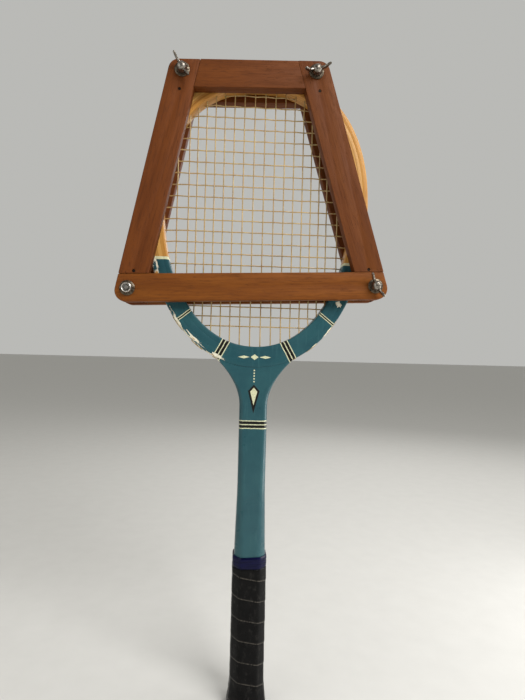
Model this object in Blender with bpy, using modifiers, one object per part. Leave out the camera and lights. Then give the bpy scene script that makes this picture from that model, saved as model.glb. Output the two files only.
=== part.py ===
"""A laminated wooden racket clamped in its wooden press.

The racket stands upright on its butt: +Z runs from the butt to the head, the face of the head looks
along -Y, and the origin is the centre of the butt end. All sizes are metres.
"""

import math

import bmesh
import bpy
from mathutils import Matrix, Vector

# --- fits -----------------------------------------------------------------
GAP = 0.0003  # clearance between pieces that touch

# --- hoop: an egg-shaped ring, fuller at the top than towards the throat ---
HOOP_CENTRE_Z = 0.536  # height of its widest point
HOOP_HALF_WIDTH = 0.119
HOOP_TOP = 0.1450  # widest point to the outside of the crown
HOOP_BOTTOM = 0.173  # widest point to the outside of the throat
BAND_AT_SIDE = 0.018
BAND_AT_TOP = 0.0175
BAND_AT_THROAT = 0.022
TOP_FULLNESS = 2.3
BOTTOM_FULLNESS = 2.1
HOOP_DEPTH = 0.019
INNER_PLY = 0.30  # shares of the band, from the inside out
MIDDLE_PLY = 0.38
HOOP_SIDES = 64

# --- strings ----------------------------------------------------------------
STRING_RADIUS = 0.00065
LAYER_OFFSET = STRING_RADIUS + 0.00015  # mains lie in front of the middle plane, crosses behind it
HOLE_OFFSET = 0.003  # holes are staggered further forwards and backwards
HOLE_SIZE = 5 * STRING_RADIUS
SETTLE_LENGTH = 0.012  # string between its hole and its layer
LOOP_RISE = STRING_RADIUS + 0.0006  # loops lie this far above the outside of the hoop
MAIN_PAIRS = 9
FIRST_MAIN = 0.0056
MAIN_PITCH = 0.0112
MAIN_PITCH_DROP = 0.00042
LAST_MAIN_PITCH = 0.012
CROSSES = 22
FIRST_CROSS_BELOW_CROWN = 0.0065
CROSS_PITCH = 0.0125
CROSS_PITCH_DROP = 0.000011
WIDEST_CROSS_PITCH = 6  # counted from the crown
HOLE_LEAN = 0.38  # how far each hole leans from square towards its string

# --- throat, shaft and handle ------------------------------------------------
SHAFT_HALF_WIDTH = 0.0148
HANDLE_HALF_WIDTH = 0.0166
THROAT_LENGTH = 0.043  # straight shaft to the outside of the hoop
THROAT_START_Z = HOOP_CENTRE_Z - HOOP_BOTTOM - THROAT_LENGTH
THROAT_SPREAD = 9.9  # flank half width grows with this times the square of the height above its start
LEG_WIDTH = 0.0085
LEG_TIP = 0.0015  # each leg stops this far short of the point where its flank meets the hoop
CORE_TOP_Z = THROAT_START_Z - 0.020
WOOD_BOTTOM_Z = 0.003
HEEL_TOP_Z = THROAT_START_Z - 0.028
HANDLE_TOP_Z = 0.162
HANDLE_HALF_DEPTH = 0.0148
HEEL_THIN = 0.0008
CHAMFER_AT_HANDLE = 0.0072
CHAMFER_AT_TOP = 0.0015
FLARE_TOP_Z = 0.028
FLARE = 0.0026
LEATHER = 0.0017
COLLAR_HEIGHT = 0.0125
LOOP_CHANNEL_DEPTH = LOOP_RISE + STRING_RADIUS + 0.0007
LOOP_CHANNEL_WIDTH = 0.0045

# --- press ---------------------------------------------------------------------
PRESS_CENTRE_X = -0.0085
PRESS_ABOVE_CROWN = 0.003
PRESS_BELOW_WIDEST = 0.103
PRESS_CENTRE_Z = HOOP_CENTRE_Z + (HOOP_TOP + PRESS_ABOVE_CROWN - PRESS_BELOW_WIDEST) / 2
PRESS_TURN = math.radians(2.3)  # how far the press sits turned on the head, anticlockwise from the front
PRESS_HALF_HEIGHT = (HOOP_TOP + PRESS_ABOVE_CROWN + PRESS_BELOW_WIDEST) / 2
PRESS_TOP_HALF = HOOP_HALF_WIDTH - 0.037
PRESS_BOTTOM_HALF = HOOP_HALF_WIDTH + 0.027
PRESS_CORNER_RADIUS = 0.0115
CORNER_STEPS = 12
BAR_THICKNESS = 0.013
RAIL_WIDTH = 0.029
STILE_WIDTH = 0.030
TOP_BOLT_INSET = (0.0149, 0.0115)  # in from the side and from the end of the press
BOTTOM_BOLT_INSET = (0.0129, 0.0140)
TOP_PIN_INSET = (0.0167, RAIL_WIDTH + 0.0024)
BOTTOM_PIN_INSET = (0.0152, RAIL_WIDTH + 0.0026)
PIN_RADIUS = 0.0015
PIN_SINK = 0.0006

# --- bolts and nuts ----------------------------------------------------------------
BOLT_RADIUS = 0.0025
BOLT_END = 0.0060  # thread left past the front washer
HEAD_RADIUS = 0.0065
HEAD_RISE = 0.0028
WASHER_RADIUS = 0.0078
WASHER_THICKNESS = 0.0012
HUB_RADIUS = 0.0048
HUB_HEIGHT = 0.0075
WING_SPAN = 0.0285
WING_HEIGHT = 0.0120
WING_THICKNESS = 0.0022
RING_NUT_RADIUS = 0.0052
RING_NUT_HEIGHT = 0.0045
WING_TURNS = {"top_left": -62, "top_right": 17, "bottom_right": -58}

FACE = HOOP_DEPTH / 2 + GAP  # inner face of each press frame, from the middle plane
OUTER_FACE = FACE + BAR_THICKNESS


# --- scene and materials ----------------------------------------------------------


def clear_scene():
    for item in list(bpy.data.objects):
        bpy.data.objects.remove(item, do_unlink=True)


def collection(name):
    made = bpy.data.collections.new(name)
    bpy.context.scene.collection.children.link(made)
    return made


def finish(name, colour, roughness, metallic=0.0):
    made = bpy.data.materials.new(name)
    made.use_nodes = True
    shader = made.node_tree.nodes["Principled BSDF"]
    shader.inputs["Base Color"].default_value = (*colour, 1)
    shader.inputs["Roughness"].default_value = roughness
    shader.inputs["Metallic"].default_value = metallic
    return made


FINISHES = {
    "natural_wood": ((0.50, 0.27, 0.08), 0.40, 0.0),
    "pale_ply": ((0.68, 0.48, 0.24), 0.40, 0.0),
    "teal_paint": ((0.03, 0.11, 0.13), 0.35, 0.0),
    "press_wood": ((0.17, 0.055, 0.018), 0.50, 0.0),
    "black_leather": ((0.012, 0.012, 0.013), 0.45, 0.0),
    "navy_tape": ((0.012, 0.010, 0.08), 0.22, 0.0),
    "cap_leather": ((0.02, 0.02, 0.02), 0.60, 0.0),
    "gut": ((0.36, 0.23, 0.10), 0.40, 0.0),
    "dull_steel": ((0.33, 0.31, 0.28), 0.45, 0.9),
    "bright_steel": ((0.62, 0.61, 0.58), 0.25, 0.9),
}

clear_scene()
PARTS = collection("racket_in_press")
CUTTERS = collection("cutters")
PRESS_POSE = bpy.data.objects.new("press_pose", None)
PRESS_POSE.location = (PRESS_CENTRE_X, 0, PRESS_CENTRE_Z)
PRESS_POSE.rotation_euler = (0, -PRESS_TURN, 0)
PARTS.objects.link(PRESS_POSE)


# --- making meshes -------------------------------------------------------------------


def part(name, mesh, look, on_press=False, smooth=False):
    """One named piece, with a material of its own."""
    made = bpy.data.objects.new(name, mesh)
    PARTS.objects.link(made)
    mesh.materials.clear()
    mesh.materials.append(finish(name + "_finish", *FINISHES[look]))
    if on_press:
        made.parent = PRESS_POSE
    if smooth:
        mesh.shade_smooth()
        mesh.set_sharp_from_angle(angle=math.radians(35))
    return made


def cutter(name, mesh, on_press=False):
    made = bpy.data.objects.new(name, mesh)
    CUTTERS.objects.link(made)
    made.hide_render = True
    made.display_type = "WIRE"
    if on_press:
        made.parent = PRESS_POSE
    return made


def combine(target, other, operation="DIFFERENCE"):
    step = target.modifiers.new(operation.lower(), "BOOLEAN")
    step.operation = operation
    step.solver = "EXACT"
    step.object = other


def mesh_of_curve(curve):
    """The filled curve as a closed mesh. Its caps are welded on."""
    holder = bpy.data.objects.new("outline", curve)
    bpy.context.scene.collection.objects.link(holder)
    graph = bpy.context.evaluated_depsgraph_get()
    mesh = bpy.data.meshes.new_from_object(holder.evaluated_get(graph))
    bpy.data.objects.remove(holder, do_unlink=True)
    shape = bmesh.new()
    shape.from_mesh(mesh)
    bmesh.ops.remove_doubles(shape, verts=shape.verts, dist=1e-6)
    bmesh.ops.recalc_face_normals(shape, faces=shape.faces)
    shape.to_mesh(mesh)
    shape.free()
    return mesh


def plate(outlines, front, back):
    """A flat plate between the depths front and back. Its outlines are lists of (x, z) points."""
    curve = bpy.data.curves.new("plate", "CURVE")
    curve.dimensions = "2D"
    curve.fill_mode = "BOTH"
    curve.extrude = (back - front) / 2
    for outline in outlines:
        spline = curve.splines.new("POLY")
        spline.points.add(len(outline) - 1)
        for point, (x, z) in zip(spline.points, outline):
            point.co = (x, z, 0, 1)
        spline.use_cyclic_u = True
    mesh = mesh_of_curve(curve)
    stand = Matrix.Translation((0, (front + back) / 2, 0)) @ Matrix.Rotation(math.pi / 2, 4, "X")
    mesh.transform(stand)
    return mesh


def tube(route, radius):
    """A round string along the points of route."""
    curve = bpy.data.curves.new("tube", "CURVE")
    curve.dimensions = "3D"
    curve.bevel_depth = radius
    curve.bevel_resolution = 1
    curve.use_fill_caps = True
    spline = curve.splines.new("POLY")
    spline.points.add(len(route) - 1)
    for point, place in zip(spline.points, route):
        point.co = (*place, 1)
    return mesh_of_curve(curve)


def loft(sections):
    """A solid through closed sections of equal length, capped at both ends."""
    shape = bmesh.new()
    rows = [[shape.verts.new(point) for point in section] for section in sections]
    for lower, upper in zip(rows, rows[1:]):
        for k in range(len(lower)):
            after = (k + 1) % len(lower)
            shape.faces.new((lower[k], lower[after], upper[after], upper[k]))
    shape.faces.new(rows[0])
    shape.faces.new(rows[-1])
    bmesh.ops.recalc_face_normals(shape, faces=shape.faces)
    mesh = bpy.data.meshes.new("loft")
    shape.to_mesh(mesh)
    shape.free()
    return mesh


def turned(profile, steps, merge=True):
    """An (r, depth) profile turned about the Y axis, by a Screw modifier that is then applied."""
    mesh = bpy.data.meshes.new("profile")
    mesh.from_pydata([(r, 0, d) for r, d in profile], [(k, k + 1) for k in range(len(profile) - 1)], [])
    holder = bpy.data.objects.new("profile", mesh)
    bpy.context.scene.collection.objects.link(holder)
    screw = holder.modifiers.new("turn", "SCREW")
    screw.steps = steps
    screw.render_steps = steps
    screw.use_merge_vertices = merge
    screw.merge_threshold = 1e-5
    graph = bpy.context.evaluated_depsgraph_get()
    made = bpy.data.meshes.new_from_object(holder.evaluated_get(graph))
    bpy.data.objects.remove(holder, do_unlink=True)
    shape = bmesh.new()
    shape.from_mesh(made)
    bmesh.ops.remove_doubles(shape, verts=shape.verts, dist=1e-6)
    bmesh.ops.recalc_face_normals(shape, faces=shape.faces)
    shape.to_mesh(made)
    shape.free()
    made.transform(Matrix.Rotation(math.pi / 2, 4, "X"))
    return made


def cylinders(places, radius, sides, front, back):
    """Round cutters along Y at each (x, z) place, all in one mesh."""
    shape = bmesh.new()
    for x, z in places:
        stand = Matrix.Translation((x, (front + back) / 2, z)) @ Matrix.Rotation(math.pi / 2, 4, "X")
        bmesh.ops.create_cone(
            shape, cap_ends=True, segments=sides, radius1=radius, radius2=radius, depth=back - front, matrix=stand
        )
    mesh = bpy.data.meshes.new("cylinders")
    shape.to_mesh(mesh)
    shape.free()
    return mesh


# --- hoop ------------------------------------------------------------------------------


def hoop_axes(share, upper):
    """Half width, half height and fullness of the hoop's outline at a share of its band, 0 inside, 1 outside."""
    width = HOOP_HALF_WIDTH - (1 - share) * BAND_AT_SIDE
    if upper:
        return width, HOOP_TOP - (1 - share) * BAND_AT_TOP, TOP_FULLNESS
    return width, HOOP_BOTTOM - (1 - share) * BAND_AT_THROAT, BOTTOM_FULLNESS


def hoop_outline(share):
    points = []
    for k in range(HOOP_SIDES):
        turn = 2 * math.pi * (k + 0.5) / HOOP_SIDES
        across, along = math.cos(turn), math.sin(turn)
        width, height, fullness = hoop_axes(share, along > 0)
        x = math.copysign(abs(across) ** (2 / fullness), across) * width
        z = math.copysign(abs(along) ** (2 / fullness), along) * height
        points.append((x, HOOP_CENTRE_Z + z))
    return points


def outside(share, x, z):
    """How far a point lies past an outline of the hoop: 0 on it, negative inside."""
    width, height, fullness = hoop_axes(share, z > HOOP_CENTRE_Z)
    return (abs(x) / width) ** fullness + (abs(z - HOOP_CENTRE_Z) / height) ** fullness - 1


def height_on_hoop(share, x, upper):
    width, height, fullness = hoop_axes(share, upper)
    reach = height * (1 - (abs(x) / width) ** fullness) ** (1 / fullness)
    return HOOP_CENTRE_Z + (reach if upper else -reach)


def width_on_hoop(share, z):
    width, height, fullness = hoop_axes(share, z > HOOP_CENTRE_Z)
    return width * (1 - (abs(z - HOOP_CENTRE_Z) / height) ** fullness) ** (1 / fullness)


def square_to_hoop(share, x, z):
    """The outward direction square to the hoop at (x, z)."""
    width, height, fullness = hoop_axes(share, z > HOOP_CENTRE_Z)
    rise = z - HOOP_CENTRE_Z
    across = math.copysign((abs(x) / width) ** (fullness - 1) / width, x)
    along = math.copysign((abs(rise) / height) ** (fullness - 1) / height, rise)
    return Vector((across, along)).normalized()


def hole_ends(x, z, pull):
    """Where a string's hole opens inside the hoop, and where it comes out. pull is the string's direction."""
    start = Vector((x, z))
    way = (square_to_hoop(0, x, z) * (1 - HOLE_LEAN) + Vector(pull) * HOLE_LEAN).normalized()
    near, far = 0.0, 0.08
    for _ in range(40):
        middle = (near + far) / 2
        if outside(1, *(start + way * middle)) < 0:
            near = middle
        else:
            far = middle
    return start, start + way * near


def main_places():
    """Distance of each main string from the middle, for one side."""
    places = [FIRST_MAIN]
    for k in range(MAIN_PAIRS - 2):
        places.append(places[-1] + MAIN_PITCH - k * MAIN_PITCH_DROP)
    places.append(places[-1] + LAST_MAIN_PITCH)
    return places


def cross_places():
    crown = HOOP_CENTRE_Z + hoop_axes(0, True)[1]
    places = [crown - FIRST_CROSS_BELOW_CROWN]
    for k in range(CROSSES - 1):
        places.append(places[-1] - CROSS_PITCH + CROSS_PITCH_DROP * (k - WIDEST_CROSS_PITCH) ** 2)
    return places


def main_holes():
    """(bottom, top) holes of every main string, from left to right. Each hole is (inner end, outer end)."""
    sides = main_places()
    holes = []
    for x in [-x for x in reversed(sides)] + sides:
        bottom = hole_ends(x, height_on_hoop(0, x, False), (0, -1))
        top = hole_ends(x, height_on_hoop(0, x, True), (0, 1))
        holes.append((bottom, top))
    return holes


def cross_holes():
    """(left, right) holes of every cross string, from the crown down."""
    holes = []
    for z in cross_places():
        x = width_on_hoop(0, z)
        holes.append((hole_ends(-x, z, (-1, 0)), hole_ends(x, z, (1, 0))))
    return holes


def above_hoop(x, z):
    """The point that lies the loops' rise outside the hoop, nearest to (x, z)."""
    way = square_to_hoop(1, x, z)
    near, far = -0.02, 0.02
    for _ in range(40):
        middle = (near + far) / 2
        if outside(1, *(Vector((x, z)) + way * middle)) < 0:
            near = middle
        else:
            far = middle
    return Vector((x, z)) + way * (near + LOOP_RISE)


def string_route(holes, layer):
    """One string laced through all its holes. layer is -1 for the mains and 1 for the crosses."""
    route = []
    left_hoop_at = None
    for run, ends in enumerate(holes):
        first, last = ends if run % 2 == 0 else ends[::-1]
        along = (last[0] - first[0]).normalized()
        if left_hoop_at:
            route.append((above_hoop(*((left_hoop_at + first[1]) / 2)), HOLE_OFFSET))
        for hole, direction in ((first, 1), (last, -1)):
            settled = hole[0] + along * direction * SETTLE_LENGTH
            stops = [(above_hoop(*hole[1]), HOLE_OFFSET), (hole[0], HOLE_OFFSET), (settled, LAYER_OFFSET)]
            route += stops[::direction]
        left_hoop_at = last[1]
    return [(point.x, layer * depth, point.y) for point, depth in route]


def hole_cutters():
    """A square pin through the hoop for every string hole."""
    shape = bmesh.new()
    past = 0.003
    for layer, strings in ((-1, main_holes()), (1, cross_holes())):
        for inner, outer in [hole for pair in strings for hole in pair]:
            way = (outer - inner).normalized()
            reach = (outer - inner).length + 2 * past
            middle = (inner + outer) / 2
            turn = Matrix.Rotation(math.atan2(way.x, way.y), 4, "Y")
            size = Matrix.Diagonal((HOLE_SIZE, HOLE_SIZE, reach, 1))
            place = Matrix.Translation((middle.x, layer * HOLE_OFFSET, middle.y))
            bmesh.ops.create_cube(shape, size=1, matrix=place @ turn @ size)
    mesh = bpy.data.meshes.new("string_holes")
    shape.to_mesh(mesh)
    shape.free()
    return mesh


def make_hoop():
    holes = cutter("string_holes", hole_cutters())
    half_gap = GAP / 2 / BAND_AT_SIDE
    limits = [
        ("hoop_inner_ply", 0, INNER_PLY - half_gap, "natural_wood"),
        ("hoop_middle_ply", INNER_PLY + half_gap, INNER_PLY + MIDDLE_PLY - half_gap, "pale_ply"),
        ("hoop_outer_ply", INNER_PLY + MIDDLE_PLY + half_gap, 1, "natural_wood"),
    ]
    for name, inner, outer, look in limits:
        ring = plate([hoop_outline(outer), hoop_outline(inner)], -HOOP_DEPTH / 2, HOOP_DEPTH / 2)
        combine(part(name, ring, look), holes)


def make_strings():
    part("main_string", tube(string_route(main_holes(), -1), STRING_RADIUS), "gut", smooth=True)
    part("cross_string", tube(string_route(cross_holes(), 1), STRING_RADIUS), "gut", smooth=True)


# --- throat, shaft and handle ----------------------------------------------------------------


def between(z, low, high):
    """0 at low, 1 at high, and held outside them."""
    return min(1, max(0, (z - low) / (high - low)))


def flare_at(z):
    return FLARE * (1 - between(z, WOOD_BOTTOM_Z, FLARE_TOP_Z)) ** 1.6


def half_width(z):
    """Half width of the racket's wood below the hoop."""
    slim = between(z, HANDLE_TOP_Z, HANDLE_TOP_Z + 0.07)
    width = HANDLE_HALF_WIDTH + (SHAFT_HALF_WIDTH - HANDLE_HALF_WIDTH) * slim
    if z > THROAT_START_Z:
        width += THROAT_SPREAD * (z - THROAT_START_Z) ** 2
    return width + flare_at(z)


def half_depth(z):
    """Half depth over the heel pieces."""
    thin = between(z, HANDLE_TOP_Z, HEEL_TOP_Z)
    top = HOOP_DEPTH / 2 + GAP + HEEL_THIN
    return HANDLE_HALF_DEPTH + (top - HANDLE_HALF_DEPTH) * thin + flare_at(z)


def chamfer_at(z):
    return CHAMFER_AT_HANDLE + (CHAMFER_AT_TOP - CHAMFER_AT_HANDLE) * between(z, HANDLE_TOP_Z, HEEL_TOP_Z)


def core_chamfer(z):
    """The part of the chamfer that falls on the legs, below the heel pieces."""
    return max(0.0005, chamfer_at(z) - (half_depth(z) - HOOP_DEPTH / 2 - GAP))


def octagon(z, wide, deep, chamfer):
    points = []
    for sx, sy in ((1, -1), (1, 1), (-1, 1), (-1, -1)):
        pair = [(sx * wide, sy * (deep - chamfer), z), (sx * (wide - chamfer), sy * deep, z)]
        points += pair if sx * sy > 0 else pair[::-1]
    return points


def leg_heights(top):
    """Heights of a leg's sections, close together where its side curves."""
    throat = [THROAT_START_Z + (top - THROAT_START_Z) * k / 8 for k in range(9)]
    flare = [WOOD_BOTTOM_Z + (FLARE_TOP_Z - WOOD_BOTTOM_Z) * k / 4 for k in range(5)]
    return flare + [HANDLE_TOP_Z, HANDLE_TOP_Z + 0.07, HEEL_TOP_Z] + throat


def leg_section(z, side):
    wide, deep, cut = half_width(z), HOOP_DEPTH / 2, core_chamfer(z)
    inner = wide - LEG_WIDTH
    outline = [(inner, -deep), (wide - cut, -deep), (wide, cut - deep)]
    outline += [(wide, deep - cut), (wide - cut, deep), (inner, deep)]
    return [(side * x, y, z) for x, y in outline]


def core_outline(low, high):
    """Outline of the piece between the legs, from low to high."""
    steps = [low] + [z for z in leg_heights(high) if low < z < high] + [high]
    right = [(half_width(z) - LEG_WIDTH - GAP, z) for z in steps]
    return right + [(-x, z) for x, z in reversed(right)]


def throat_top():
    """Height where the flanks meet the outside of the hoop."""
    z = THROAT_START_Z
    step = 0.0001
    while outside(1, half_width(z), z) > 0:
        z += step
    return z


def channel_mesh():
    """The groove under the hoop in which the string loops lie at the throat."""
    width = HOOP_HALF_WIDTH * 0.5
    count = 16
    lower = []
    upper = []
    for k in range(count + 1):
        x = width * (2 * k / count - 1)
        z = height_on_hoop(1, x, False)
        lower.append((x, z - LOOP_CHANNEL_DEPTH))
        upper.append((x, z + 0.004))
    middle = -HOLE_OFFSET
    return plate([lower + upper[::-1]], middle - LOOP_CHANNEL_WIDTH / 2, middle + LOOP_CHANNEL_WIDTH / 2)


def make_throat_and_shaft():
    hoop_space = cutter("hoop_space", plate([grown_hoop()], -HOOP_DEPTH, HOOP_DEPTH))
    channel = cutter("loop_channel", channel_mesh())
    meet = throat_top()
    deep = HOOP_DEPTH / 2
    wedge = part("throat_wedge", plate([core_outline(CORE_TOP_Z, meet + 0.002)], -deep, deep), "teal_paint")
    combine(wedge, hoop_space)
    combine(wedge, channel)
    part("shaft_core", plate([core_outline(WOOD_BOTTOM_Z, CORE_TOP_Z - GAP)], -deep, deep), "teal_paint")
    for side, word in ((-1, "left"), (1, "right")):
        leg = loft([leg_section(z, side) for z in leg_heights(meet - LEG_TIP)])
        leg = part(f"bow_leg_{word}", leg, "teal_paint")
        combine(leg, hoop_space)
        combine(leg, channel)
    make_heels()


def grown_hoop():
    """The outside of the hoop, grown by the gap."""
    points = []
    for x, z in hoop_outline(1):
        out = square_to_hoop(1, x, z) * GAP * 1.5
        points.append((x + out.x, z + out.y))
    return points


def make_heels():
    """The heel pieces thicken the shaft to the handle, on its front and on its back."""
    base = HOOP_DEPTH / 2 + GAP
    for side, word in ((-1, "front"), (1, "back")):
        sections = []
        for z in [z for z in leg_heights(CORE_TOP_Z) if z <= HEEL_TOP_Z]:
            rise = half_depth(z) - base
            foot = half_width(z) - core_chamfer(z)
            crown = foot - min(rise, chamfer_at(z))
            outline = [(-foot, base), (foot, base), (crown, base + rise), (-crown, base + rise)]
            sections.append([(x, side * y, z) for x, y in outline])
        part(f"heel_{word}", loft(sections), "teal_paint")


def sleeve(heights, inner_gap, wall):
    """An eight-sided sleeve over the handle, open at both ends."""
    shape = bmesh.new()
    rows = []
    for z in heights:
        for grow in (inner_gap, inner_gap + wall):
            wide, deep = half_width(z) + grow, half_depth(z) + grow
            cut = chamfer_at(z) + grow * 0.586
            rows.append([shape.verts.new(point) for point in octagon(z, wide, deep, cut)])
    inner, outer = rows[0::2], rows[1::2]
    for skin in (inner, outer):
        for lower, upper in zip(skin, skin[1:]):
            for k in range(8):
                after = (k + 1) % 8
                shape.faces.new((lower[k], lower[after], upper[after], upper[k]))
    for end in (0, -1):
        for k in range(8):
            after = (k + 1) % 8
            shape.faces.new((inner[end][k], inner[end][after], outer[end][after], outer[end][k]))
    bmesh.ops.recalc_face_normals(shape, faces=shape.faces)
    mesh = bpy.data.meshes.new("sleeve")
    shape.to_mesh(mesh)
    shape.free()
    return mesh


def make_grip():
    collar_low = HANDLE_TOP_Z - COLLAR_HEIGHT
    flare = [WOOD_BOTTOM_Z + (FLARE_TOP_Z - WOOD_BOTTOM_Z) * k / 4 for k in range(5)]
    part("grip_leather", sleeve(flare + [collar_low - GAP], GAP, LEATHER), "black_leather")
    part("grip_collar", sleeve([collar_low, HANDLE_TOP_Z], GAP, LEATHER * 0.9), "navy_tape")
    bottom = WOOD_BOTTOM_Z
    wide, deep = half_width(bottom) + LEATHER, half_depth(bottom) + LEATHER
    cut = chamfer_at(bottom) + LEATHER * 0.586
    round_off = 0.0008
    sections = [octagon(0, wide - round_off, deep - round_off, cut)]
    sections.append(octagon(round_off, wide, deep, cut))
    sections.append(octagon(bottom - GAP, wide, deep, cut))
    part("butt_cap", loft(sections), "cap_leather")


# --- press ----------------------------------------------------------------------------------------


def side_line(z, inset=0.0):
    """Half width of the press's outline at height z, less an inset measured square to its side."""
    slope = (PRESS_BOTTOM_HALF - PRESS_TOP_HALF) / (2 * PRESS_HALF_HEIGHT)
    square = math.hypot(1, slope)
    return PRESS_TOP_HALF + slope * (PRESS_HALF_HEIGHT - z) - inset * square


def press_blank():
    """Outline of the whole press, with its corners rounded."""
    reach = PRESS_HALF_HEIGHT
    corners = [(-side_line(-reach), -reach), (side_line(-reach), -reach)]
    corners += [(side_line(reach), reach), (-side_line(reach), reach)]
    points = []
    for k, corner in enumerate(corners):
        corner = Vector(corner)
        back = (Vector(corners[k - 1]) - corner).normalized()
        on = (Vector(corners[(k + 1) % 4]) - corner).normalized()
        half = back.angle(on) / 2
        middle = corner + (back + on).normalized() * PRESS_CORNER_RADIUS / math.sin(half)
        start = corner + back * PRESS_CORNER_RADIUS / math.tan(half) - middle
        sweep = math.pi - 2 * half
        for step in range(CORNER_STEPS + 1):
            turn = Matrix.Rotation(sweep * step / CORNER_STEPS, 2)
            points.append(tuple(middle + turn @ start))
    return points


def rail_outline(low, high, clear=0.0):
    """A rail across the press between two heights, grown by clear."""
    past = 0.01
    low -= clear
    high += clear
    return [
        (-side_line(low) - past, low),
        (side_line(low) + past, low),
        (side_line(high) + past, high),
        (-side_line(high) - past, high),
    ]


def stile_outline(side, clear=0.0):
    """A stile down the side of the press, grown by clear."""
    past = 0.01
    reach = PRESS_HALF_HEIGHT + past
    return [
        (side * (side_line(-reach, STILE_WIDTH + clear)), -reach),
        (side * (side_line(-reach) + past), -reach),
        (side * (side_line(reach) + past), reach),
        (side * (side_line(reach, STILE_WIDTH + clear)), reach),
    ]


def make_press_frame(word, way, blank, drillings):
    """Two rails and two stiles, half-lapped at the corners. way is -1 at the front and 1 at the back."""
    split = FACE + BAR_THICKNESS / 2
    half = GAP / 2
    past = 0.01

    def layer(outlines, low, high):
        depths = sorted((way * low, way * high))
        return plate(outlines, *depths)

    def inner_half(outline):
        return layer([outline], FACE - past, split + half)

    def outer_half(outline):
        return layer([outline], split - half, OUTER_FACE + past)

    top_low = PRESS_HALF_HEIGHT - RAIL_WIDTH
    rails = {"top": (top_low, PRESS_HALF_HEIGHT + past), "bottom": (-PRESS_HALF_HEIGHT - past, -top_low)}
    full = (FACE, OUTER_FACE)
    for place, (low, high) in rails.items():
        name = f"{word}_{place}_rail"
        bar = part(name, layer([rail_outline(low, high)], *full), "press_wood", on_press=True)
        combine(bar, blank, "INTERSECT")
        take_away = outer_half if place == "top" else inner_half
        for side in (-1, 1):
            lap = cutter(f"{name}_lap_{side}", take_away(stile_outline(side, GAP)), on_press=True)
            combine(bar, lap)
        for drilling in drillings:
            combine(bar, drilling)
    for side, hand in ((-1, "left"), (1, "right")):
        name = f"{word}_{hand}_stile"
        bar = part(name, layer([stile_outline(side)], *full), "press_wood", on_press=True)
        combine(bar, blank, "INTERSECT")
        for place, (low, high) in rails.items():
            take_away = inner_half if place == "top" else outer_half
            lap = cutter(f"{name}_lap_{place}", take_away(rail_outline(low, high, GAP)), on_press=True)
            combine(bar, lap)
        for drilling in drillings:
            combine(bar, drilling)


def corner_places(top_inset, bottom_inset):
    """The four corners as {name: (x, z)}, in the press's own frame."""
    top = PRESS_HALF_HEIGHT - top_inset[1]
    bottom = bottom_inset[1] - PRESS_HALF_HEIGHT
    top_x = side_line(top) - top_inset[0]
    bottom_x = side_line(bottom) - bottom_inset[0]
    return {
        "top_left": (-top_x, top),
        "top_right": (top_x, top),
        "bottom_left": (-bottom_x, bottom),
        "bottom_right": (bottom_x, bottom),
    }


def make_press():
    bolts = corner_places(TOP_BOLT_INSET, BOTTOM_BOLT_INSET)
    pins = corner_places(TOP_PIN_INSET, BOTTOM_PIN_INSET)
    deep = OUTER_FACE + 0.02
    blank = cutter("press_blank", plate([press_blank()], -deep, deep), on_press=True)
    bolt_holes = cylinders(bolts.values(), BOLT_RADIUS + GAP, 12, -deep, deep)
    pin_holes = cylinders(pins.values(), PIN_RADIUS + GAP, 8, -deep, deep)
    drillings = [cutter("bolt_holes", bolt_holes, True), cutter("pin_holes", pin_holes, True)]
    for word, way in (("front", -1), ("back", 1)):
        make_press_frame(word, way, blank, drillings)
        for corner, (x, z) in pins.items():
            ends = sorted((way * (FACE + PIN_SINK), way * (OUTER_FACE - PIN_SINK)))
            pin = part(f"{word}_pin_{corner}", cylinders([(x, z)], PIN_RADIUS, 8, *ends), "dull_steel", True)
            pin.data.shade_smooth()
            pin.data.set_sharp_from_angle(angle=math.radians(50))
    for corner, (x, z) in bolts.items():
        make_fastening(corner, x, z)


# --- bolts, washers and nuts ------------------------------------------------------------------------


def put(made, x, z, depth=0.0, turn=0.0):
    made.location = (x, depth, z)
    made.rotation_euler = (0, turn, 0)
    return made


def bolt_mesh():
    """A round-headed bolt along Y. Its head bears on the back frame."""
    seat = OUTER_FACE + GAP
    end = -(OUTER_FACE + GAP + WASHER_THICKNESS + BOLT_END)
    profile = [(0, -(seat + HEAD_RISE))]
    for k in (1, 2):
        turn = math.pi / 2 * k / 3
        profile.append((HEAD_RADIUS * math.sin(turn), -(seat + HEAD_RISE * math.cos(turn))))
    profile += [(HEAD_RADIUS, -seat), (BOLT_RADIUS, -seat), (BOLT_RADIUS, -end - 0.0006)]
    profile += [(BOLT_RADIUS - 0.0006, -end), (0, -end)]
    return turned(profile, 12)


def washer_mesh():
    ring = [(WASHER_RADIUS, 0), (WASHER_RADIUS, -WASHER_THICKNESS)]
    ring += [(BOLT_RADIUS + GAP, -WASHER_THICKNESS), (BOLT_RADIUS + GAP, 0), (WASHER_RADIUS, 0)]
    return turned(ring, 16)


def nut_hub_mesh():
    """Domed hub of a wing nut with a blind bore, seated at depth 0 and rising towards +Z before it is turned."""
    bore = BOLT_RADIUS + GAP
    depth = BOLT_END + GAP
    profile = [(bore, 0), (HUB_RADIUS + 0.0008, 0), (HUB_RADIUS, HUB_HEIGHT * 0.6)]
    profile += [(HUB_RADIUS * 0.8, HUB_HEIGHT * 0.95), (HUB_RADIUS * 0.4, HUB_HEIGHT * 1.12)]
    profile += [(0, HUB_HEIGHT * 1.15)]
    inside = [(0, depth), (bore, depth), (bore, 0)]
    return turned(profile + inside, 12)


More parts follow.
